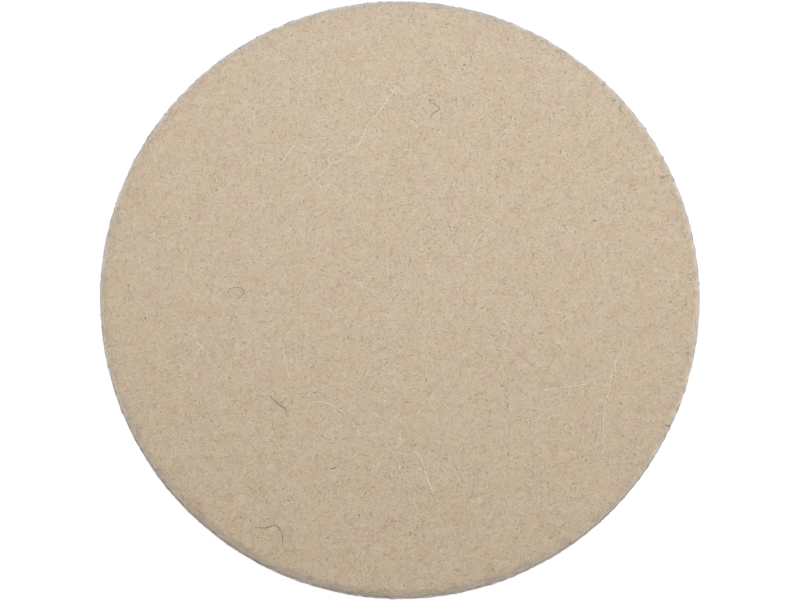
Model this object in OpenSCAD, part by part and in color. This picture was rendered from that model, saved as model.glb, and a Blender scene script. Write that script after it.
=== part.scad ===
// Hook-and-loop wool felt polishing disc.
//
// A die-cut disc of pressed wool felt with a loop fabric laminated to its back. The loop side
// grips the hooks of a backing pad, and the felt face carries the polish.
// Millimetres. The origin is the centre of the loop side and +Z points out of the felt face.

/* [Disc] */
// Diameter of the disc, a little over that of the 125 mm backing pad it grips
disc_d = 128; // [100:1:180]
// Thickness of the pressed wool felt
felt_t = 8; // [4:0.5:12]

/* [Felt edge] */
// Radius to which the rim of the working face has softened
face_rim_r = 1.5; // [0.3:0.1:2.5]
// Radius at the felt's bonded edge
back_rim_r = 0.25; // [0.1:0.05:0.5]
// How far the wall draws in at mid height, where the felt sprang back from the cutting die
wall_waist = 0.25; // [0.1:0.05:0.6]

/* [Loop fabric] */
// Thickness of the hot-melt film between felt and fabric
film_t = 0.2; // [0.1:0.05:0.4]
// Thickness of the coat that locks the loops' roots
coat_t = 0.2; // [0.1:0.05:0.4]
// Thickness of the knitted ground cloth
knit_t = 0.5; // [0.3:0.05:1]
// Height of the brushed loops
pile_h = 1.1; // [0.6:0.1:2]
// How far the fabric's cut edge stays inside the felt's
fabric_inset = 0.3; // [0:0.1:1]
// Radius at the foot of the pile, where the outermost loops lean over
pile_rim_r = 0.5; // [0.1:0.1:0.55]

/* [Hidden] */
$fn = 180;

disc_r = disc_d / 2;
fabric_r = disc_r - fabric_inset;
// Each layer starts where the one below it ends.
knit_z = pile_h;
coat_z = knit_z + knit_t;
film_z = coat_z + coat_t;
felt_z = film_z + film_t;
top_z = felt_z + felt_t;

wool = [0.80, 0.72, 0.63];
film_amber = [0.86, 0.83, 0.74];
coat_white = [0.88, 0.88, 0.86];
knit_grey = [0.80, 0.80, 0.79];
pile_grey = [0.85, 0.85, 0.84];

rim_steps = 8;
wall_steps = 10;

// Points of a quarter circle about centre, from one angle to another.
function rim_arc(centre, r, from, to) = [
    for (i = [0 : rim_steps])
        let (a = from + (to - from) * i / rim_steps)
        centre + r * [cos(a), sin(a)]
];

// Points up the cut wall between two heights, drawn in by the waist at the middle.
function waisted_wall(r, low, high) = [
    for (i = [1 : wall_steps - 1])
        let (t = i / wall_steps)
        [r - wall_waist * sin(180 * t), low + (high - low) * t]
];

// The felt's half section: bonded face, small back rim, waisted wall, soft face rim.
function felt_section() = concat(
    [[0, felt_z]],
    rim_arc([disc_r - back_rim_r, felt_z + back_rim_r], back_rim_r, -90, 0),
    waisted_wall(disc_r, felt_z + back_rim_r, top_z - face_rim_r),
    rim_arc([disc_r - face_rim_r, top_z - face_rim_r], face_rim_r, 0, 90),
    [[0, top_z]]
);

// The pile's half section: flat loop tips, a lower rim that rounds up to the ground cloth.
function pile_section() = concat(
    [[0, 0]],
    rim_arc([fabric_r - pile_rim_r, pile_rim_r], pile_rim_r, -90, 0),
    [[fabric_r, pile_h], [0, pile_h]]
);

module layer(radius, thickness, z)
    translate([0, 0, z])
        cylinder(r = radius, h = thickness);

module felt_disc()
    color(wool)
        rotate_extrude()
            polygon(felt_section());

module bonding_film()
    color(film_amber)
        layer(fabric_r, film_t, film_z);

module loop_back_coat()
    color(coat_white)
        layer(fabric_r, coat_t, coat_z);

module ground_knit()
    color(knit_grey)
        layer(fabric_r, knit_t, knit_z);

module loop_pile()
    color(pile_grey)
        rotate_extrude()
            polygon(pile_section());

felt_disc();
bonding_film();
loop_back_coat();
ground_knit();
loop_pile();
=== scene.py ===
"""Hook-and-loop wool felt polishing disc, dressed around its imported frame.

The disc lies on a pale floor with its loop side down and its felt face up. Everything is in
metres, in the frame's own axes: the origin is the centre of the loop side and +Z points out of
the felt face. Sizes are written as a number of millimetres times MM, except in the finishes and
in the tables of fibres, where their docstrings give them in millimetres.
"""

import logging
import math
from collections.abc import Iterable
from dataclasses import dataclass
from enum import Enum
from random import Random

import bmesh
import bpy
from mathutils import Matrix, Vector, noise


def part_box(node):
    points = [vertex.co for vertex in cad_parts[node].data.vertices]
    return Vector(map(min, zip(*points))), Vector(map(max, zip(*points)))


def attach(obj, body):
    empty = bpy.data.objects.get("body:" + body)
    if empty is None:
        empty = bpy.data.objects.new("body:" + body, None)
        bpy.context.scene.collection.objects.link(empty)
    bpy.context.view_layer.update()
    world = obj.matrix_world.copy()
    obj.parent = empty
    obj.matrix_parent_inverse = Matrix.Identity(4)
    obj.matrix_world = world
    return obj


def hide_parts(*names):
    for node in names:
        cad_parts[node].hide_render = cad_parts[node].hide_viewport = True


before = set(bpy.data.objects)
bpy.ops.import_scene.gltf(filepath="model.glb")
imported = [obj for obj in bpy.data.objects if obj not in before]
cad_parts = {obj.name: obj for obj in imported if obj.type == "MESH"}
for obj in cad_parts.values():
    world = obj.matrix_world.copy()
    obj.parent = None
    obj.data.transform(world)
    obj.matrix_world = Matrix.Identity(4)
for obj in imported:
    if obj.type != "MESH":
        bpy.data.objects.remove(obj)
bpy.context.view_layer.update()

Tree = bpy.types.NodeTree
Socket = bpy.types.NodeSocket

MM = 0.001
UP = Vector((0.0, 0.0, 1.0))
BODY = "root"
log = logging.getLogger("felt_disc")


# ------------------------ materials


def linear(code: str) -> tuple[float, float, float, float]:
    """Turn an sRGB hex colour into linear light.

    Args:
        code: Six hex digits, such as "C8B79F".

    Returns:
        Red, green, blue and an alpha of 1.
    """
    channels = (int(code[i : i + 2], 16) / 255 for i in (0, 2, 4))
    red, green, blue = (c / 12.92 if c <= 0.04045 else ((c + 0.055) / 1.055) ** 2.4 for c in channels)
    return red, green, blue, 1.0


def add(
    tree: Tree,
    kind: str,
    settings: dict[str | int, object] | None = None,
    links: dict[str | int, Socket] | None = None,
    out: str | None = None,
) -> Socket:
    """Add a node with its settings and its incoming links.

    Args:
        tree: The node tree to add to.
        kind: The node's type without its "ShaderNode" prefix.
        settings: Values by property name, or by the name or number of an input.
        links: Source sockets by the name or number of the input they feed.
        out: The output to return, or None for the first one in use.

    Returns:
        The output socket.
    """
    node = tree.nodes.new("ShaderNode" + kind)

    def entry(key: str | int) -> Socket:
        """Find an input in use.

        Args:
            key: Its number or its name.

        Returns:
            The input.
        """
        if isinstance(key, int):
            return node.inputs[key]
        return next(s for s in node.inputs if s.enabled and s.name == key)

    for key, value in (settings or {}).items():
        if isinstance(key, str) and hasattr(node, key):
            setattr(node, key, value)
        else:
            entry(key).default_value = value
    for key, source in (links or {}).items():
        tree.links.new(source, entry(key))
    return node.outputs[out] if out else next(s for s in node.outputs if s.enabled)


@dataclass(frozen=True)
class Finish:
    """A named material with one Principled shader, which each finish colours in its own way.

    Attributes:
        name: The material's name, after what the real one is.
        roughness: Roughness of its surface.
        ior: Index of refraction.
        gloss: Specular level.
        sheen: How much pale light its loose ends catch at a slant.
    """

    name: str
    roughness: float
    ior: float
    gloss: float = 0.5
    sheen: float = 0.0

    def build(self) -> bpy.types.Material:
        """Build the material.

        Returns:
            The material.
        """
        material = bpy.data.materials.new(self.name)
        material.use_nodes = True
        tree = material.node_tree
        shader = tree.nodes["Principled BSDF"]
        constants = {
            "Roughness": self.roughness,
            "IOR": self.ior,
            "Specular IOR Level": self.gloss,
            "Sheen Weight": self.sheen,
            "Sheen Roughness": 0.5,
        }
        for socket, value in constants.items():
            shader.inputs[socket].default_value = value
        place = add(tree, "TexCoord", out="Object")
        in_mm = add(tree, "Mapping", {"Scale": (1 / MM, 1 / MM, 1 / MM)}, {"Vector": place})
        for socket, source in self.pattern(tree, in_mm).items():
            tree.links.new(source, shader.inputs[socket])
        return material

    def pattern(self, tree: Tree, in_mm: Socket) -> dict[str, Socket]:
        """Build what varies over the surface.

        Args:
            tree: The material's node tree.
            in_mm: Object coordinates in millimetres.

        Returns:
            Source sockets by the name of the shader's input they feed.
        """
        raise NotImplementedError


@dataclass(frozen=True)
class Patches:
    """Patches that cloud a surface, cut out of noise.

    Attributes:
        size: Width of a patch, in millimetres.
        start: Level of the noise at which a patch begins.
        full: Level of the noise at which it is full.
        share: How much of its tone shows where it is full.
        detail: Layers of finer noise.
        roughness: How much each finer layer counts.
    """

    size: float
    start: float
    full: float
    share: float = 1.0
    detail: float = 1.0
    roughness: float = 0.5

    def build(self, tree: Tree, where: Socket) -> Socket:
        """Build the patches.

        Args:
            tree: The material's node tree.
            where: Coordinates in millimetres.

        Returns:
            How much of the patches' tone shows.
        """
        level = add(
            tree,
            "TexNoise",
            {"Scale": 1 / self.size, "Detail": self.detail, "Roughness": self.roughness},
            {"Vector": where},
        )
        return add(
            tree,
            "MapRange",
            {"From Min": self.start, "From Max": self.full, "To Max": self.share},
            {"Value": level},
        )


@dataclass(frozen=True, kw_only=True)
class PressedWool(Finish):
    """Pressed wool felt: a mat of wool fibres, shrunk by steam and sheared flat.

    It gives the eye a warm cream ground, short streaks where fibres lie together, pin-prick
    shadows where they part, and no gloss at all. A wool fibre is about 0.03 mm thick, so the
    streaks are drawn as the bundles that can be made out from arm's length. Lengths are in
    millimetres.

    Attributes:
        face: Height of the working face.
        ground: Colour of the mat.
        bundle: Colour of the bundles that lie on top.
        gap: Colour of the shadow in a gap.
        yolk: Colour where the wool kept some of its yellow grease.
        blush: Colour where the wool grew a little pinker.
        rim_sheen: Colour of the painted sheen on the rim, paler and greyer than the ground.
        cut: Colour that darkens the cut wall, as painted shade.
        layers: Layers of bundles, each turned to the one below.
        first_turn: Turn of the lowest layer, in degrees.
        next_turn: Turn from each layer to the next, in degrees.
        layer_shift: How far each layer is moved, so that no two are alike.
        bundle_size: Length, width and height of a bundle.
        bundle_levels: Levels of the noise at which a bundle begins and is full.
        bend_size: Length of one bend in a bundle.
        bend: How far bundles bend along X, Y and Z.
        gaps: Where gaps open.
        clouds: Where the wool is yellower.
        blushes: Where it is pinker.
        rim_sheen_depths: Depths below the face at which the painted rim sheen begins and is full.
        rim_sheen_share: How much of the painted rim sheen shows.
        cut_depths: Depths below the face at which the painted wall shade begins and is full.
        cut_share: How much of the painted wall shade shows.
        stands_off: How far bundles stand off the gaps.
        bump: How much of that the light shows.
    """

    name: str = "pressed_wool_felt"
    roughness: float = 0.95
    ior: float = 1.55
    gloss: float = 0.15
    sheen: float = 0.8
    face: float
    ground: str = "C1AA8B"
    bundle: str = "CFBDA0"
    gap: str = "8D7660"
    yolk: str = "C6B08C"
    blush: str = "C6A48A"
    rim_sheen: str = "CCC3B8"
    cut: str = "C4C0BC"
    layers: int = 4
    first_turn: float = 20.0
    next_turn: float = 45.0
    layer_shift: tuple[float, float, float] = (7.3, 3.1, 1.7)
    bundle_size: tuple[float, float, float] = (2.0, 0.22, 0.22)
    bundle_levels: tuple[float, float] = (0.5, 0.75)
    bend_size: float = 2.0
    bend: tuple[float, float, float] = (2.4, 2.4, 0.4)
    gaps: Patches = Patches(size=0.32, start=0.57, full=0.72, detail=2.0, roughness=0.6)
    clouds: Patches = Patches(size=8.0, start=0.45, full=0.75, share=0.5, detail=3.0)
    blushes: Patches = Patches(size=3.5, start=0.5, full=0.7, share=0.4, detail=2.0)
    rim_sheen_depths: tuple[float, float] = (0.02, 0.7)
    rim_sheen_share: float = 0.6
    cut_depths: tuple[float, float] = (0.7, 1.5)
    cut_share: float = 1.0
    stands_off: float = 0.05
    bump: float = 0.6

    def pattern(self, tree: Tree, in_mm: Socket) -> dict[str, Socket]:
        """Lay bent bundles on the ground, cloud them, open gaps, paint rim sheen and wall shade.

        Args:
            tree: The material's node tree.
            in_mm: Object coordinates in millimetres.

        Returns:
            Source sockets by the name of the shader's input they feed.
        """
        swing = add(
            tree, "TexNoise", {"Scale": 1 / self.bend_size, "Detail": 1.0}, {"Vector": in_mm}, "Color"
        )
        bent = add(
            tree, "VectorMath", {"operation": "MULTIPLY_ADD", 1: self.bend}, {0: swing, 2: in_mm}
        )
        raised = self._bundles(tree, bent)
        open_gap = self.gaps.build(tree, bent)
        toned = add(
            tree,
            "Mix",
            {"data_type": "RGBA", "A": linear(self.ground), "B": linear(self.bundle)},
            {"Factor": raised},
        )
        for tone, shown in (
            (self.yolk, self.clouds.build(tree, in_mm)),
            (self.blush, self.blushes.build(tree, bent)),
            (self.gap, open_gap),
        ):
            toned = add(
                tree, "Mix", {"data_type": "RGBA", "B": linear(tone)}, {"Factor": shown, "A": toned}
            )
        # The rim is painted paler and greyer: painted sheen, for the pale light the rounded rim
        # catches at a slant. The wall below it is painted greyer still and darker: painted shade.
        height = add(tree, "SeparateXYZ", {}, {"Vector": in_mm}, "Z")
        for blend, tone, share, (begins, is_full) in (
            ("MIX", self.rim_sheen, self.rim_sheen_share, self.rim_sheen_depths),
            ("MULTIPLY", self.cut, self.cut_share, self.cut_depths),
        ):
            shown = add(
                tree,
                "MapRange",
                {"From Min": self.face - begins, "From Max": self.face - is_full, "To Max": share},
                {"Value": height},
            )
            toned = add(
                tree,
                "Mix",
                {"data_type": "RGBA", "blend_type": blend, "B": linear(tone)},
                {"Factor": shown, "A": toned},
            )
        nap = add(tree, "Math", {"operation": "SUBTRACT"}, {0: raised, 1: open_gap})
        bump = add(
            tree, "Bump", {"Strength": self.bump, "Distance": self.stands_off * MM}, {"Height": nap}
        )
        return {"Base Color": toned, "Normal": bump}

    def _bundles(self, tree: Tree, bent: Socket) -> Socket:
        """Cross the layers of bundles.

        Args:
            tree: The material's node tree.
            bent: Coordinates in millimetres, bent as the bundles are.

        Returns:
            1 on a bundle and 0 beside it.
        """
        highest = None
        for layer in range(self.layers):
            turn = math.radians(self.first_turn + self.next_turn * layer)
            laid = add(
                tree,
                "Mapping",
                {
                    "vector_type": "TEXTURE",
                    "Location": tuple(shift * layer for shift in self.layer_shift),
                    "Rotation": (0.0, 0.0, turn),
                    "Scale": self.bundle_size,
                },
                {"Vector": bent},
            )
            grain = add(tree, "TexNoise", {"Scale": 1.0, "Detail": 1.5}, {"Vector": laid})
            if highest is None:
                highest = grain
            else:
                highest = add(tree, "Math", {"operation": "MAXIMUM"}, {0: highest, 1: grain})
        begins, is_full = self.bundle_levels
        return add(tree, "MapRange", {"From Min": begins, "From Max": is_full}, {"Value": highest})


@dataclass(frozen=True)
class Toned(Finish):
    """A finish whose tone drifts between two colours.

    Attributes:
        pale: The paler colour.
        deep: The deeper colour.
        patch: Width of a patch of one tone, in millimetres.
        pale_level: Level of the noise up to which the tone is the paler one.
        deep_level: Level of the noise from which it is the deeper one.
    """

    pale: str = "FFFFFF"
    deep: str = "000000"
    patch: float = 1.0
    pale_level: float = 0.35
    deep_level: float = 0.65

    def pattern(self, tree: Tree, in_mm: Socket) -> dict[str, Socket]:
        """Drift from the paler tone to the deeper one and back.

        Args:
            tree: The material's node tree.
            in_mm: Object coordinates in millimetres.

        Returns:
            Source sockets by the name of the shader's input they feed.
        """
        deepened = Patches(self.patch, self.pale_level, self.deep_level).build(tree, in_mm)
        toned = add(
            tree,
            "Mix",
            {"data_type": "RGBA", "A": linear(self.pale), "B": linear(self.deep)},
            {"Factor": deepened},
        )
        return {"Base Color": toned}


@dataclass(frozen=True)
class WoolFibre(Toned):
    """A wool fibre: a scaly, slightly waxy keratin rod.

    It gives the eye a soft light along each fibre, and a tone that shifts from one fibre to the
    next, because a fleece is never one colour.
    """

    roughness: float = 0.7
    ior: float = 1.55
    gloss: float = 0.25
    sheen: float = 0.3
    patch: float = 1.3


CREAM = WoolFibre(name="wool_fibre_cream", pale="DAC7A9", deep="C8B392")
IVORY = WoolFibre(name="wool_fibre_ivory", pale="E2D2B6", deep="D3BFA0")
PALE = WoolFibre(name="wool_fibre_pale", pale="EDE0C8", deep="E0CFB3")
STRAW = WoolFibre(name="wool_fibre_straw", pale="CDBA97", deep="BDA682")
TAN = WoolFibre(name="wool_fibre_tan", pale="9C8064", deep="775C44")
BROWN = WoolFibre(name="wool_fibre_brown", pale="7E654C", deep="544030")
WHITE = WoolFibre(name="wool_fibre_white", pale="F4E8CF", deep="E8D9BA")
# Fibres on the rim, paler and greyer: painted sheen, like the rim under them.
RIM_SHEEN_FIBRE = WoolFibre(name="wool_fibre_rim_sheen", pale="D9CEC0", deep="C2B6A8")
# Fibres on the wall, darker and greyer: painted shade, like the wall under them.
WALL_SHADE_FIBRE = WoolFibre(name="wool_fibre_wall_shade", pale="B5AA9C", deep="92887B")

# Polyamide hot melt: a cloudy, slightly yellow skin that shines where it was pressed smooth.
MELT_FILM = Toned(
    name="hot_melt_film", roughness=0.35, ior=1.53, pale="D9D0B4", deep="C4B896", patch=3.0
)
# Acrylic binder, rolled on and dried: chalky white, and dull.
BINDER = Toned(
    name="acrylic_binder_coat", roughness=0.8, ior=1.49, pale="D8D8D4", deep="C3C3BF", patch=2.0
)
# Warp-knitted nylon cloth, undyed: cool, even and a little lustrous.
NYLON_KNIT = Toned(
    name="knitted_nylon", roughness=0.6, ior=1.53, sheen=0.2, pale="C9CACA", deep="B3B5B7", patch=0.7
)
# Textured nylon filament, brushed up: paler than the cloth, since light passes between loops.
NYLON_LOOP = Toned(
    name="brushed_nylon_loops",
    roughness=0.45,
    ior=1.53,
    sheen=0.1,
    pale="DCDDDD",
    deep="BFC1C3",
    patch=1.1,
)


# ------------------------ shared shapes


@dataclass(frozen=True)
class Unevenness:
    """Low humps and hollows of one size.

    Attributes:
        size: Width of a hump.
        height: How high it stands.
        shift: Where in the noise it starts, in humps, so that no two sizes run alike.
    """

    size: float
    height: float
    shift: tuple[float, float, float] = (0.0, 0.0, 0.0)


SLOW_WAVES = Unevenness(11 * MM, 0.04 * MM)
TUFTS = Unevenness(2.3 * MM, 0.025 * MM)
KNOTS = Unevenness(1.1 * MM, 0.02 * MM, (31.0, 7.0, 0.0))


@dataclass(frozen=True)
class FeltProfile:
    """Half section of the felt, walked by its length from the centre of the working face.

    A place on the felt is a pair (x, y) on the disc as if its rim and wall were unrolled flat.
    Out to face_reach that is the place itself, and past it the walk goes over the rim and down
    the wall.

    Attributes:
        radius: Radius of the felt.
        low: Height of the bonded face.
        high: Height of the working face.
        rim: Radius to which the rim of the working face has softened.
        waist: How far the wall draws in at mid height.
        squeeze: How many times wider than high a hump on the wall is, as it follows the layers.
    """

    radius: float
    low: float
    high: float
    rim: float = 1.5 * MM
    waist: float = 0.25 * MM
    squeeze: float = 2.5

    @property
    def face_reach(self) -> float:
        """Walked length at which the rim starts."""
        return self.radius - self.rim

    @property
    def wall_reach(self) -> float:
        """Walked length at which the wall starts."""
        return self.face_reach + self.rim * math.pi / 2

    @property
    def full_reach(self) -> float:
        """Walked length at the bonded face."""
        return self.wall_reach + self.high - self.rim - self.low

    def section(self, reach: float) -> tuple[float, float, float]:
        """Find the section at a walked length.

        Args:
            reach: Walked length from the centre.

        Returns:
            Radius, height, and the angle between the surface's normal and +Z.
        """
        if reach <= self.face_reach:
            return reach, self.high, 0.0
        shoulder = self.high - self.rim
        if reach <= self.wall_reach:
            lean = (reach - self.face_reach) / self.rim
            return (
                self.face_reach + self.rim * math.sin(lean),
                shoulder + self.rim * math.cos(lean),
                lean,
            )
        down = min((reach - self.wall_reach) / (self.full_reach - self.wall_reach), 1.0)
        drawn_in = self.waist * math.sin(math.pi * down)
        return self.radius - drawn_in, shoulder - down * (shoulder - self.low), math.pi / 2

    def relief(self, place: Vector) -> float:
        """Find how far the felt stands off its smooth shape.

        Args:
            place: A point on the smooth shape.

        Returns:
            Height along the normal.
        """
        squeezed = Vector((place.x, place.y, place.z * self.squeeze))
        return sum(
            humps.height * noise.noise(squeezed / humps.size + Vector(humps.shift))
            for humps in (SLOW_WAVES, TUFTS, KNOTS)
        )

    def drape(self, x: float, y: float, lift: float = 0.0) -> Vector:
        """Lay an unrolled place on the felt.

        Args:
            x: Unrolled place along X.
            y: Unrolled place along Y.
            lift: Height above the felt's uneven surface, along its normal.

        Returns:
            The place in space.
        """
        reach = math.hypot(x, y)
        radius, height, lean = self.section(reach)
        outward = Vector((x, y, 0.0)) / reach if reach > 0 else Vector((1.0, 0.0, 0.0))
        smooth = outward * radius + UP * height
        normal = outward * math.sin(lean) + UP * math.cos(lean)
        return smooth + normal * (self.relief(smooth) + lift)


def swell(t: float) -> float:
    """Rise smoothly from 0 at t = 0 to 1 halfway, and fall back to 0 at t = 1."""
    return max(math.sin(math.pi * t), 0.0)


@dataclass(frozen=True)
class Strand:
    """One fibre, yarn or loop.

    Attributes:
        path: Its points.
        half: Its half thickness at each of them.
    """

    path: list[Vector]
    half: list[float]


def place_mesh(name: str, mesh: bpy.types.Mesh, shape: bmesh.types.BMesh) -> bpy.types.Object:
    """Finish a mesh with outward faces and smooth shading, and put it in the scene.

    Args:
        name: The piece's name.
        mesh: The mesh to fill.
        shape: Its shape, which is freed.

    Returns:
        The piece.
    """
    bmesh.ops.recalc_face_normals(shape, faces=shape.faces)
    shape.to_mesh(mesh)
    shape.free()
    mesh.name = name
    mesh.shade_smooth()
    piece = bpy.data.objects.new(name, mesh)
    bpy.context.scene.collection.objects.link(piece)
    return piece


def tubes(name: str, strands: Iterable[Strand], sides: int = 3) -> bpy.types.Object:
    """Make closed tubes along strands, as one mesh.

    Args:
        name: The piece's name.
        strands: The strands.
        sides: Sides of each tube; three are enough for what is thinner than a hair.

    Returns:
        The piece.
    """
    ring = bpy.data.curves.new("ring", "CURVE")
    outline = ring.splines.new("POLY")
    outline.points.add(sides - 1)
    for i, point in enumerate(outline.points):
        point.co = (math.cos(math.tau * i / sides), math.sin(math.tau * i / sides), 0.0, 1.0)
    outline.use_cyclic_u = True
    paths = bpy.data.curves.new("paths", "CURVE")
    paths.dimensions = "3D"
    for strand in strands:
        spline = paths.splines.new("POLY")
        spline.points.add(len(strand.path) - 1)
        spline.points.foreach_set("co", [c for p in strand.path for c in (*p, 1.0)])
        spline.points.foreach_set("radius", strand.half)
    ring_object = bpy.data.objects.new("ring", ring)
    paths_object = bpy.data.objects.new("paths", paths)
    for spare in (ring_object, paths_object):
        bpy.context.scene.collection.objects.link(spare)
    paths.bevel_mode = "OBJECT"
    paths.bevel_object = ring_object
    paths.use_fill_caps = True
    swept = paths_object.evaluated_get(bpy.context.evaluated_depsgraph_get())
    mesh = bpy.data.meshes.new_from_object(swept)
    bpy.data.curves.remove(paths)
    bpy.data.curves.remove(ring)
    shape = bmesh.new()
    shape.from_mesh(mesh)
    return place_mesh(name, mesh, shape)


def finished(piece: bpy.types.Object, finish: Finish) -> bpy.types.Object:
    """Give a piece its finish and its body.

    Args:
        piece: The piece.
        finish: The finish, built once and then shared.

    Returns:
        The same piece.
    """
    material = bpy.data.materials.get(finish.name) or finish.build()
    piece.data.materials.clear()
    piece.data.materials.append(material)
    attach(piece, BODY)
    log.info("%s: %d faces, %s", piece.name, len(piece.data.polygons), finish.name)
    return piece


# ------------------------ the felt


@dataclass(frozen=True)
class FeltPad:
    """The die-cut disc of pressed wool.

    Attributes:
        profile: The felt's half section.
        rings: Rings of faces from the centre of the working face to the bonded face.
        back_rim: Radius at the bonded edge.
    """

    profile: FeltProfile
    rings: int = 150
    back_rim: float = 0.25 * MM

    def build(self) -> bpy.types.Object:
        """Build the pad from one square grid, wrapped over the face, the rim and the wall.

        A square of the grid becomes a circle, so the faces stay about as wide as they are long
        and no pole is left in the middle.

        Returns:
            The piece.
        """
        cells = 2 * self.rings
        shape = bmesh.new()
        bmesh.ops.create_grid(shape, x_segments=cells, y_segments=cells, size=1.0)
        for vertex in shape.verts:
            x, y = self._to_disc(vertex.co.x, vertex.co.y)
            vertex.co = self.profile.drape(x * self.profile.full_reach, y * self.profile.full_reach)
        edge = [e for e in shape.edges if e.is_boundary]
        turned = bmesh.ops.extrude_edge_only(shape, edges=edge)["geom"]
        for vertex in (v for v in turned if isinstance(v, bmesh.types.BMVert)):
            outward = vertex.co.xy.normalized().to_3d()
            vertex.co = outward * (self.profile.radius - self.back_rim) + UP * self.profile.low
        bmesh.ops.holes_fill(shape, edges=[e for e in shape.edges if e.is_boundary])
        pad = place_mesh("felt_pad", bpy.data.meshes.new("felt_pad"), shape)
        finished(pad, PressedWool(face=self.profile.high / MM))
        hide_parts("felt_disc")
        return pad

    @staticmethod
    def _to_disc(x: float, y: float) -> tuple[float, float]:
        """Turn a place in a square of half width 1 into one in a disc of radius 1.

        Args:
            x: Place along the square's width.
            y: Place along its height.

        Returns:
            The place in the disc.
        """
        out = max(abs(x), abs(y))
        if out == 0.0:
            return 0.0, 0.0
        if abs(x) >= abs(y):
            angle = math.pi / 4 * y / x + (math.pi if x < 0 else 0.0)
        else:
            angle = math.pi / 2 - math.pi / 4 * x / y + (math.pi if y < 0 else 0.0)
        return out * math.cos(angle), out * math.sin(angle)


class Zone(Enum):
    """Where on the felt a kind of fibre starts."""

    FACE = "face"
    RIM = "rim"
    WALL = "wall"


@dataclass(frozen=True)
class Fleece:
    """One kind of loose fibre on the felt's surface, with its sizes in millimetres.

    A wool fibre is about 0.03 mm thick. These are drawn up to six times as thick, each standing
    for a small bundle, or they would not show.

    Attributes:
        name: The piece's name.
        count: Number of fibres.
        length: Shortest and longest fibre.
        width: Thinnest and thickest fibre.
        curl: How sharply a fibre turns, in radians for each millimetre.
        rise: How far the middle of the liveliest fibre stands off the surface.
        finish: The fibre's finish.
        steps: Straight steps that a fibre is drawn with.
        zone: Where it starts.
    """

    name: str
    count: int
    length: tuple[float, float]
    width: tuple[float, float]
    curl: float
    rise: float
    finish: WoolFibre
    steps: int = 6
    zone: Zone = Zone.FACE


FLEECES = (
    Fleece("wool_fine_cream", 4900, (1.5, 4.0), (0.05, 0.09), 0.5, 0.03, CREAM),
    Fleece("wool_fine_ivory", 4900, (1.2, 3.5), (0.05, 0.08), 0.9, 0.04, IVORY),
    Fleece("wool_fine_straw", 4900, (1.5, 4.0), (0.05, 0.09), 0.6, 0.02, STRAW),
    Fleece("wool_coarse_pale", 2400, (2.5, 8.0), (0.05, 0.09), 0.4, 0.05, PALE, steps=10),
    Fleece("wool_short_tan", 7800, (0.15, 0.5), (0.09, 0.18), 0.6, 0.0, TAN, steps=2),
    Fleece("wool_rim_fuzz", 4200, (0.8, 3.0), (0.04, 0.08), 0.9, 0.3, RIM_SHEEN_FIBRE, zone=Zone.RIM),
    Fleece("wool_cut_ends", 4900, (0.8, 3.5), (0.04, 0.08), 0.5, 0.12, WALL_SHADE_FIBRE, zone=Zone.WALL),
)


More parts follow.
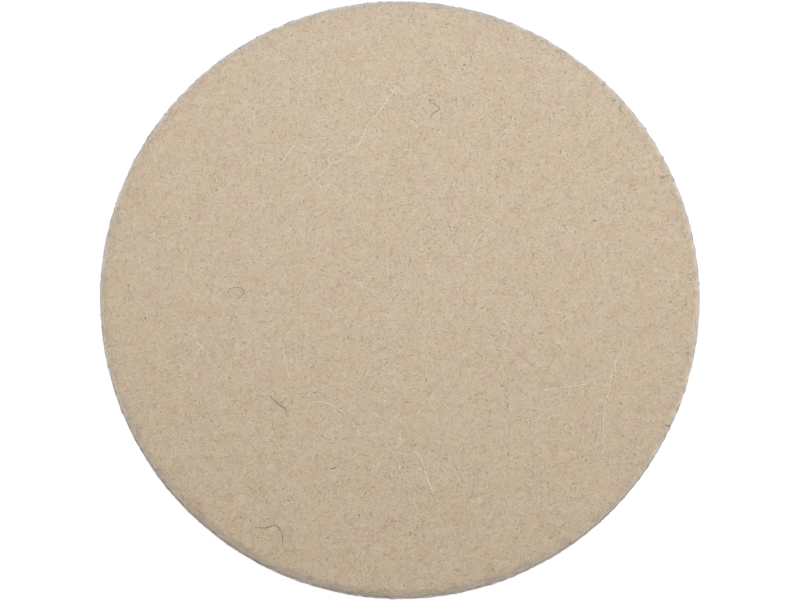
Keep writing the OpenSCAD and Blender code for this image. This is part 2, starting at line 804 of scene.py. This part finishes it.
@dataclass(frozen=True)
class MattedWool:
    """The fibres that lie loose on the felt, from the face's centre to the foot of the wall.

    Attributes:
        profile: The felt's half section.
        seed: Seed of the random numbers.
        past_face: How far past the face its fibres start.
        past_rim: How far past the rim the rim's fibres start.
        before_wall: How far before the wall its fibres start.
        shortness: How much short fibres outnumber long ones; 1 is not at all.
        off_level: How far a fibre on the wall lies off the level, in radians.
        carried: How much of its turn a fibre carries from step to step.
        fresh: How much of its kind's curl is added at each step.
        sunk: How deep its ends lie in the felt, in half thicknesses.
        proud: How high its middle lies, in half thicknesses.
        flatness: How soon it comes up from its ends; a small number is soon.
        tip: Thickness of its ends, as a share of that of its middle.
    """

    profile: FeltProfile
    seed: int = 7
    past_face: float = 0.5 * MM
    past_rim: float = 1 * MM
    before_wall: float = 0.3 * MM
    shortness: float = 1.6
    off_level: float = 0.4
    carried: float = 0.8
    fresh: float = 0.6
    sunk: float = 1.5
    proud: float = 0.4
    flatness: float = 0.6
    tip: float = 0.55

    def build(self, kind: Fleece) -> bpy.types.Object:
        """Build all fibres of one kind.

        Args:
            kind: The kind.

        Returns:
            The piece.
        """
        rng = Random(f"{self.seed} {kind.name}")
        piece = tubes(kind.name, [self._fibre(kind, rng) for _ in range(kind.count)])
        return finished(piece, kind.finish)

    def _span(self, zone: Zone) -> tuple[float, float]:
        """Find where the fibres of a zone start.

        Args:
            zone: The zone.

        Returns:
            The nearest and the farthest walked length.
        """
        profile = self.profile
        return {
            Zone.FACE: (0.0, profile.face_reach + self.past_face),
            Zone.RIM: (profile.face_reach, profile.wall_reach + self.past_rim),
            Zone.WALL: (profile.wall_reach - self.before_wall, profile.full_reach),
        }[zone]

    def _fibre(self, kind: Fleece, rng: Random) -> Strand:
        """Walk one fibre over the felt.

        Its two ends sink into the mat and its middle stands proud of it.

        Args:
            kind: The kind of fibre.
            rng: Source of random numbers.

        Returns:
            The fibre.
        """
        near, far = self._span(kind.zone)
        reach = math.sqrt(rng.uniform(near**2, far**2))
        angle = rng.uniform(0, math.tau)
        x, y = reach * math.cos(angle), reach * math.sin(angle)
        short, long = kind.length
        step = (short + (long - short) * rng.random() ** self.shortness) * MM / kind.steps
        half = rng.uniform(*kind.width) * MM / 2
        rise = kind.rise * MM * rng.random() ** 2
        heading = rng.uniform(0, math.tau)
        if kind.zone is Zone.WALL:
            heading = angle + math.pi / 2 + rng.gauss(0, self.off_level)
        turn = rng.gauss(0, kind.curl)
        path, halves = [], []
        for i in range(kind.steps + 1):
            middle = swell(i / kind.steps)
            up = (self.sunk + self.proud) * middle**self.flatness - self.sunk
            path.append(self.profile.drape(x, y, up * half + rise * middle))
            halves.append(half * (self.tip + (1 - self.tip) * middle))
            x += step * math.cos(heading)
            y += step * math.sin(heading)
            turn = self.carried * (turn + rng.gauss(0, kind.curl * self.fresh))
            heading += turn * step / MM
            beyond = max(math.hypot(x, y) / self.profile.full_reach, 1.0)
            x, y = x / beyond, y / beyond
        return Strand(path, halves)


@dataclass(frozen=True)
class GuardHair:
    """A long coarse hair that lies on the face where anyone can pick it out.

    Attributes:
        course: The points it passes, in millimetres from the disc's centre.
        width: Its thickness, in millimetres.
    """

    course: tuple[tuple[float, float], ...]
    width: float


PALE_HAIRS = (
    GuardHair(
        ((-0.5, 45.5), (-4.5, 40.0), (-7.0, 37.0), (-8.0, 34.5), (-9.5, 32.0), (-11.5, 30.5)),
        0.12,
    ),
    GuardHair(((-11.5, 30.0), (-14.5, 28.5), (-17.0, 26.5), (-20.0, 24.0), (-24.0, 20.0)), 0.09),
    GuardHair(((-22.0, 34.0), (-19.5, 32.0), (-17.0, 31.0)), 0.08),
    GuardHair(((-27.0, 26.5), (-25.0, 29.5), (-22.0, 33.5)), 0.10),
    GuardHair(((-19.0, 50.0), (-17.5, 48.5), (-16.0, 49.5)), 0.09),
    GuardHair(((-30.0, -8.5), (-26.5, -5.5), (-24.0, -3.5)), 0.08),
    GuardHair(((-25.0, -10.5), (-24.5, -13.5), (-24.0, -16.0), (-23.0, -18.5)), 0.12),
    GuardHair(((-44.0, -9.5), (-42.0, -11.0), (-41.0, -12.5), (-41.0, -14.5)), 0.08),
    GuardHair(
        ((-19.5, -22.5), (-16.5, -22.5), (-14.0, -23.5), (-12.0, -25.0), (-9.0, -28.5), (-8.5, -30.5)),
        0.12,
    ),
    GuardHair(((-7.0, -23.5), (-4.0, -26.5), (-2.0, -28.0), (1.0, -31.0)), 0.10),
    GuardHair(((2.5, -32.5), (4.0, -34.0), (5.0, -36.0), (5.5, -38.0), (7.0, -42.0)), 0.15),
    GuardHair(((-1.5, -33.0), (-0.5, -35.0), (0.0, -37.0)), 0.10),
    GuardHair(((30.5, -20.0), (33.5, -19.5), (37.5, -19.0), (40.5, -18.5)), 0.15),
    GuardHair(
        ((46.5, -12.0), (46.0, -14.0), (45.0, -17.5), (44.5, -20.5), (43.5, -24.0), (43.5, -34.0)),
        0.11,
    ),
    GuardHair(((35.0, 0.5), (36.5, -0.5), (38.0, -2.5), (38.5, -4.5)), 0.12),
    GuardHair(((15.5, 10.5), (17.0, 13.0), (18.5, 14.5), (21.0, 17.5)), 0.11),
    GuardHair(((20.5, -2.5), (22.0, -4.5), (23.5, -7.0)), 0.08),
    GuardHair(((25.0, 11.0), (27.5, 13.0)), 0.08),
    GuardHair(((27.0, 16.0), (29.5, 13.5)), 0.08),
    GuardHair(((43.0, 7.0), (44.5, 8.5)), 0.11),
    GuardHair(((36.5, -42.0), (37.0, -40.5), (38.0, -40.5), (37.5, -42.0)), 0.09),
    GuardHair(((22.5, -34.5), (26.0, -35.5), (28.5, -37.0), (29.0, -38.0)), 0.08),
    GuardHair(((-8.5, -38.0), (-7.0, -37.0)), 0.10),
    GuardHair(((25.5, -48.0), (27.5, -48.5), (29.0, -49.5)), 0.09),
    GuardHair(((-5.5, -61.5), (-4.5, -62.0), (-3.0, -63.5)), 0.13),
    GuardHair(((-3.5, -61.5), (-2.5, -62.5), (-0.5, -64.0)), 0.13),
    GuardHair(((-0.5, -62.5), (0.5, -62.5), (1.5, -62.0)), 0.10),
    GuardHair(((6.0, -62.0), (7.0, -63.0), (7.5, -64.0)), 0.10),
)
DARK_HAIRS = (
    GuardHair(((6.0, 42.0), (7.5, 41.5), (8.5, 40.5), (7.0, 39.5), (6.5, 38.0)), 0.10),
    GuardHair(((47.5, 41.5), (47.0, 41.0), (47.0, 40.5), (48.0, 39.5)), 0.14),
    GuardHair(((55.5, 25.5), (56.5, 26.0), (58.0, 26.5)), 0.12),
    GuardHair(((56.5, -27.5), (58.5, -27.5)), 0.20),
    GuardHair(((-28.0, -21.0), (-26.0, -23.0), (-24.5, -24.0), (-24.0, -26.0)), 0.10),
    GuardHair(
        ((-31.0, -49.5), (-28.5, -49.5), (-26.5, -49.0), (-25.5, -50.0), (-25.0, -51.5), (-25.0, -53.5)),
        0.10,
    ),
    GuardHair(
        ((-36.5, 0.0), (-36.5, 1.5), (-35.0, 2.0), (-33.5, 1.5), (-33.5, 0.5), (-35.0, -0.5)),
        0.07,
    ),
    GuardHair(((-15.0, -37.0), (-13.5, -36.5)), 0.12),
    GuardHair(((-29.0, 0.0), (-28.0, 1.0)), 0.09),
    GuardHair(((-18.5, -20.5), (-18.0, -20.5)), 0.30),
    GuardHair(((-9.0, -46.5), (-8.5, -47.0)), 0.24),
    GuardHair(((27.5, 33.5), (28.0, 33.5)), 0.24),
)


@dataclass(frozen=True)
class LongHairs:
    """Pale and dark guard hairs, laid one by one.

    Attributes:
        profile: The felt's half section.
        spacing: Length of a straight step along a hair.
        sunk: How deep its ends lie in the felt, in half thicknesses.
        proud: How high its middle lies, in half thicknesses.
        flatness: How soon it comes up from its ends; a small number is soon.
        tip: Thickness of its ends, as a share of that of its middle.
    """

    profile: FeltProfile
    spacing: float = 0.35 * MM
    sunk: float = 1.2
    proud: float = 1.0
    flatness: float = 0.25
    tip: float = 0.4

    def build(self, name: str, hairs: tuple[GuardHair, ...], finish: WoolFibre) -> bpy.types.Object:
        """Build hairs of one tone.

        Args:
            name: The piece's name.
            hairs: The hairs.
            finish: Their finish.

        Returns:
            The piece.
        """
        return finished(tubes(name, map(self._hair, hairs), sides=6), finish)

    def _hair(self, hair: GuardHair) -> Strand:
        """Draw one hair through its points.

        Args:
            hair: The hair.

        Returns:
            The hair as a strand that tapers and sinks in at both ends.
        """
        knots = [Vector(p) * MM for p in hair.course]
        knots = [2 * knots[0] - knots[1], *knots, 2 * knots[-1] - knots[-2]]
        places = []
        for before, here, there, after in zip(knots, knots[1:], knots[2:], knots[3:]):
            steps = max(int((there - here).length / self.spacing), 2)
            for i in range(steps):
                places.append(self._between(before, here, there, after, i / steps))
        places.append(knots[-2])
        half = hair.width * MM / 2
        last = len(places) - 1
        middles = [swell(i / last) ** self.flatness for i in range(len(places))]
        lifts = [((self.sunk + self.proud) * middle - self.sunk) * half for middle in middles]
        path = [self.profile.drape(p.x, p.y, lift) for p, lift in zip(places, lifts)]
        return Strand(path, [half * (self.tip + (1 - self.tip) * middle) for middle in middles])

    @staticmethod
    def _between(before: Vector, here: Vector, there: Vector, after: Vector, t: float) -> Vector:
        """Find a point on the smooth curve from here to there.

        Args:
            before: The knot before here.
            here: The knot at t = 0.
            there: The knot at t = 1.
            after: The knot after there.
            t: How far along.

        Returns:
            The point.
        """
        leave, arrive = (there - before) / 2, (after - here) / 2
        chord = there - here
        bend = 3 * chord - 2 * leave - arrive
        ease = leave + arrive - 2 * chord
        return here + t * (leave + t * (bend + t * ease))


# ------------------------ the loop backing


class Loop(Enum):
    """How a brushed loop stands."""

    UPRIGHT = "upright"
    LEANING = "leaning"
    OPENED = "opened"

    @property
    def lean(self) -> float:
        """How far its tip leans aside, as a share of its height."""
        return {Loop.UPRIGHT: 0.15, Loop.LEANING: 0.6, Loop.OPENED: 0.4}[self]

    @property
    def sweep(self) -> float:
        """How much of a loop is left: the brush broke an opened one off on its way back."""
        return 0.7 if self is Loop.OPENED else 1.0


@dataclass(frozen=True)
class LoopBacking:
    """What is laminated to the felt: film, binder coat, knitted ground cloth and brushed loops.

    Attributes:
        radius: Radius of the fabric.
        edge_steps: Straight steps round the edge of a layer.
        edge_softness: How much of a layer's thickness each softened corner takes.
        wale: Distance from one row of loops to the next, wider than a real one's, which is too
            fine to show.
        stray: How far a loop strays along X and Y, as a share of the wale.
        yarn: Thickness of a loop's yarn.
        yarn_range: Thinnest and thickest yarn, as a share of that.
        height_range: Lowest and highest loop, as a share of the pile's height.
        foot: Half the width of a loop at its roots.
        belly: How much that grows on the way to its tip.
        fullness: How soon a loop reaches its height; a small number is soon.
        droop: How late it leans over; a large number is late.
        loop_points: Points along a loop.
        end_count: Cut ends of yarn round the edge.
        end_crowding: How far an end strays round the edge, as a share of their distance.
        end_root: How far inside the edge an end starts.
        end_length: Shortest and longest end.
        end_stray: How far an end points aside.
        end_sag: How far an end hangs down.
        end_halves: Half thickness of an end at its root, middle and tip.
        seed: Seed of the random numbers.
    """

    radius: float
    edge_steps: int = 900
    edge_softness: float = 0.3
    wale: float = 0.9 * MM
    stray: tuple[float, float] = (0.1, 0.12)
    yarn: float = 0.12 * MM
    yarn_range: tuple[float, float] = (0.8, 1.2)
    height_range: tuple[float, float] = (0.75, 1.0)
    foot: float = 0.12 * MM
    belly: float = 0.3 * MM
    fullness: float = 0.75
    droop: float = 1.5
    loop_points: int = 6
    end_count: int = 1100
    end_crowding: float = 0.4
    end_root: float = 0.4 * MM
    end_length: tuple[float, float] = (0.35 * MM, 0.65 * MM)
    end_stray: float = 0.2 * MM
    end_sag: float = 0.12 * MM
    end_halves: tuple[float, float, float] = (0.05 * MM, 0.05 * MM, 0.03 * MM)
    seed: int = 11

    def build(self) -> None:
        """Build the four layers, from the felt down."""
        film = self._cut_layer("hot_melt_film", "bonding_film", wander=0.12 * MM, ripple=1.5)
        finished(film, MELT_FILM)
        coat = self._cut_layer("binder_coat", "loop_back_coat", wander=0.06 * MM, ripple=3.0)
        finished(coat, BINDER)
        cloth = self._cut_layer("knit_cloth", "ground_knit", wander=0.10 * MM, ripple=0.6)
        finished(cloth, NYLON_KNIT)
        stitches = self._stitches()
        tips, roots = (corner.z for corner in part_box("loop_pile"))
        for i, way in enumerate(Loop):
            rng = Random(f"{self.seed} {way.value}")
            loops = [self._loop(way, place, tips, roots, rng) for place in stitches[i :: len(Loop)]]
            piece = finished(tubes(f"loops_{way.value}", loops), NYLON_LOOP)
            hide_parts("loop_pile")
        finished(tubes("cut_yarn_ends", self._cut_ends()), NYLON_LOOP)

    def _cut_layer(self, name: str, node: str, wander: float, ripple: float) -> bpy.types.Object:
        """Cut a thin layer whose edge wanders, as a die leaves it.

        Args:
            name: The piece's name.
            node: The CAD node whose height it takes and which it stands for.
            wander: How far the edge wanders in and out.
            ripple: Length of a ripple in the edge, in millimetres.

        Returns:
            The piece.
        """
        low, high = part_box(node)
        thickness = high.z - low.z
        shape = bmesh.new()
        bmesh.ops.create_circle(shape, cap_ends=True, segments=self.edge_steps, radius=self.radius)
        bmesh.ops.translate(shape, vec=UP * low.z, verts=shape.verts)
        raised = bmesh.ops.extrude_face_region(shape, geom=shape.faces[:])["geom"]
        top = [v for v in raised if isinstance(v, bmesh.types.BMVert)]
        bmesh.ops.translate(shape, vec=UP * thickness, verts=top)
        for vertex in shape.verts:
            outward = vertex.co.xy.normalized().to_3d()
            vertex.co += outward * wander * noise.noise(vertex.co / (ripple * MM))
        corners = [e for e in shape.edges if abs(e.verts[0].co.z - e.verts[1].co.z) < thickness / 2]
        bmesh.ops.bevel(
            shape,
            geom=corners,
            offset=thickness * self.edge_softness,
            segments=2,
            profile=0.5,
            affect="EDGES",
            material=-1,
        )
        piece = place_mesh(name, bpy.data.meshes.new(name), shape)
        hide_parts(node)
        return piece

    def _stitches(self) -> list[Vector]:
        """Find where the loops are rooted in the ground cloth.

        Returns:
            The places, shuffled.
        """
        rng = Random(self.seed)
        reach = int(self.radius / self.wale) + 1
        places = []
        for row in range(-reach, reach + 1):
            for column in range(-reach, reach + 1):
                place = Vector((row, column + row % 2 / 2)) * self.wale
                place += Vector([rng.gauss(0, stray) for stray in self.stray]) * self.wale
                if place.length < self.radius - self.wale / 2:
                    places.append(place)
        rng.shuffle(places)
        return places

    def _loop(self, way: Loop, place: Vector, tips: float, roots: float, rng: Random) -> Strand:
        """Knit one loop: out of the ground cloth, down to the tips and, unless opened, back.

        Args:
            way: How it stands.
            place: Where it is rooted.
            tips: Height of the longest loops' tips.
            roots: Height of the ground cloth's underside.
            rng: Source of random numbers.

        Returns:
            The loop.
        """
        half = self.yarn / 2 * rng.uniform(*self.yarn_range)
        height = (roots - tips) * rng.uniform(*self.height_range)
        across = Matrix.Rotation(rng.uniform(0, math.tau), 2) @ Vector((1.0, 0.0))
        aside = Matrix.Rotation(rng.uniform(0, math.tau), 2) @ Vector((1.0, 0.0))
        path = []
        for i in range(self.loop_points):
            done = way.sweep * i / (self.loop_points - 1)
            bulge = swell(done)
            drop = height * bulge**self.fullness
            spread = -math.cos(math.pi * done) * (self.foot + self.belly * bulge)
            over = way.lean * height * (drop / height) ** self.droop
            flat = place + across * spread + aside * over
            path.append(Vector((flat.x, flat.y, roots + half - drop)))
        return Strand(path, [half] * self.loop_points)

    def _cut_ends(self) -> list[Strand]:
        """Let short ends of yarn show where the cloth was cut.

        Returns:
            The ends.
        """
        rng = Random(f"{self.seed} ends")
        low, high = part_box("ground_knit")
        ends = []
        for i in range(self.end_count):
            astray = rng.uniform(-self.end_crowding, self.end_crowding)
            angle = math.tau * (i + astray) / self.end_count
            outward = Vector((math.cos(angle), math.sin(angle), 0.0))
            start = outward * (self.radius - self.end_root) + UP * rng.uniform(low.z, high.z)
            course = outward * rng.uniform(*self.end_length)
            course += outward.cross(UP) * rng.gauss(0, self.end_stray)
            path = [start + course * t - UP * self.end_sag * t * t for t in (0, 0.5, 1)]
            ends.append(Strand(path, list(self.end_halves)))
        return ends


# ------------------------ the studio


@dataclass(frozen=True)
class Softbox:
    """A softbox that faces the disc.

    Attributes:
        name: Its name.
        place: Where it hangs.
        size: Its width and depth.
        power: Its power in watts.
        tint: The sRGB hex colour of its light.
    """

    name: str
    place: tuple[float, float, float]
    size: tuple[float, float]
    power: float
    tint: str


@dataclass(frozen=True)
class Studio:
    """Floor, lights and camera.

    Attributes:
        target: The point that the camera looks at.
        tilt: Angle between the line of sight and the disc's axis, in degrees.
        swing: How far the camera stands to the left of straight below, in degrees.
        distance: From the camera to the target.
        view_width: Width of the view at the target.
        room: Strength of the light from the room.
        room_tint: The sRGB hex colour of that light.
        floor_radius: Radius of the floor.
        floor_sides: Sides of the floor.
        floor_shade: The sRGB hex colour of the floor unlit.
        floor_glow: Strength of the light from within it.
        softboxes: The softboxes.
    """

    target: Vector
    tilt: float = 6.6
    swing: float = 7.0
    distance: float = 2.0
    view_width: float = 170.82 * MM
    room: float = 0.20
    room_tint: str = "FFF4DC"
    floor_radius: float = 6.0
    floor_sides: int = 96
    floor_shade: str = "999999"
    floor_glow: float = 0.86
    softboxes: tuple[Softbox, ...] = (
        Softbox("key", (0.015, 0.10, 0.25), (0.4, 0.16), 0.87, "DDE9FF"),
        Softbox("left", (-0.9, -0.10, 0.30), (0.5, 0.4), 3.4, "FFFAF2"),
        Softbox("right", (0.9, -0.20, 0.35), (0.5, 0.4), 4.8, "FFFBF4"),
    )

    def build(self) -> None:
        """Build the floor, the lights and the camera."""
        self._floor()
        world = bpy.data.worlds.new("white_room")
        world.use_nodes = True
        walls = world.node_tree.nodes["Background"]
        walls.inputs["Color"].default_value = linear(self.room_tint)
        walls.inputs["Strength"].default_value = self.room
        bpy.context.scene.world = world
        for softbox in self.softboxes:
            self._hang(softbox)
        self._camera()

    def _floor(self) -> None:
        """Lay a pale floor, lit from within so that it stays pale beside the disc."""
        shape = bmesh.new()
        bmesh.ops.create_circle(
            shape, cap_ends=True, segments=self.floor_sides, radius=self.floor_radius
        )
        floor = place_mesh("floor", bpy.data.meshes.new("floor"), shape)
        # Opal acrylic over a light panel: matt, even and white.
        material = bpy.data.materials.new("opal_acrylic")
        material.use_nodes = True
        shader = material.node_tree.nodes["Principled BSDF"]
        shader.inputs["Base Color"].default_value = linear(self.floor_shade)
        shader.inputs["Roughness"].default_value = 0.9
        shader.inputs["Emission Color"].default_value = linear("FFFFFF")
        shader.inputs["Emission Strength"].default_value = self.floor_glow
        floor.data.materials.append(material)

    def _hang(self, softbox: Softbox) -> None:
        """Hang a softbox.

        Args:
            softbox: The softbox.
        """
        light = bpy.data.lights.new(softbox.name, "AREA")
        light.shape = "RECTANGLE"
        light.size, light.size_y = softbox.size
        light.energy = softbox.power
        light.color = linear(softbox.tint)[:3]
        lamp = bpy.data.objects.new(softbox.name, light)
        lamp.location = softbox.place
        facing = self.target - Vector(softbox.place)
        lamp.rotation_euler = facing.to_track_quat("-Z", "Y").to_euler()
        bpy.context.scene.collection.objects.link(lamp)

    def _camera(self) -> None:
        """Stand a long-lensed camera almost straight over the disc, with +Y up in its view."""
        scene = bpy.context.scene
        data = bpy.data.cameras.new("camera")
        data.sensor_width = 36.0
        data.lens = data.sensor_width * self.distance / self.view_width
        data.clip_start, data.clip_end = 0.1, 20.0
        camera = bpy.data.objects.new("camera", data)
        tilt, swing = math.radians(self.tilt), math.radians(self.swing)
        back = Vector(
            (-math.sin(swing) * math.sin(tilt), -math.cos(swing) * math.sin(tilt), math.cos(tilt))
        )
        right = Vector((0.0, 1.0, 0.0)).cross(back).normalized()
        turned = Matrix((right, back.cross(right), back)).transposed().to_4x4()
        camera.matrix_world = Matrix.Translation(self.target + back * self.distance) @ turned
        scene.collection.objects.link(camera)
        scene.camera = camera
        scene.view_settings.view_transform = "Standard"


# ------------------------ making it


def main() -> None:
    """Build the disc, layer by layer, and then the studio round it."""
    low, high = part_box("felt_disc")
    profile = FeltProfile(radius=(high.x - low.x) / 2, low=low.z, high=high.z)
    FeltPad(profile).build()
    wool = MattedWool(profile)
    for kind in FLEECES:
        wool.build(kind)
    hairs = LongHairs(profile)
    hairs.build("guard_hairs_pale", PALE_HAIRS, WHITE)
    hairs.build("guard_hairs_dark", DARK_HAIRS, BROWN)
    fabric_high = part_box("ground_knit")[1]
    LoopBacking(radius=fabric_high.x).build()
    # The wall shows below the face, so the middle of the view lies a little below the face's.
    view_drop = 0.63 * MM
    Studio(target=Vector((0.0, -view_drop, high.z))).build()


if __name__ == "__main__":
    logging.basicConfig(level=logging.INFO, format="%(message)s")
    main()
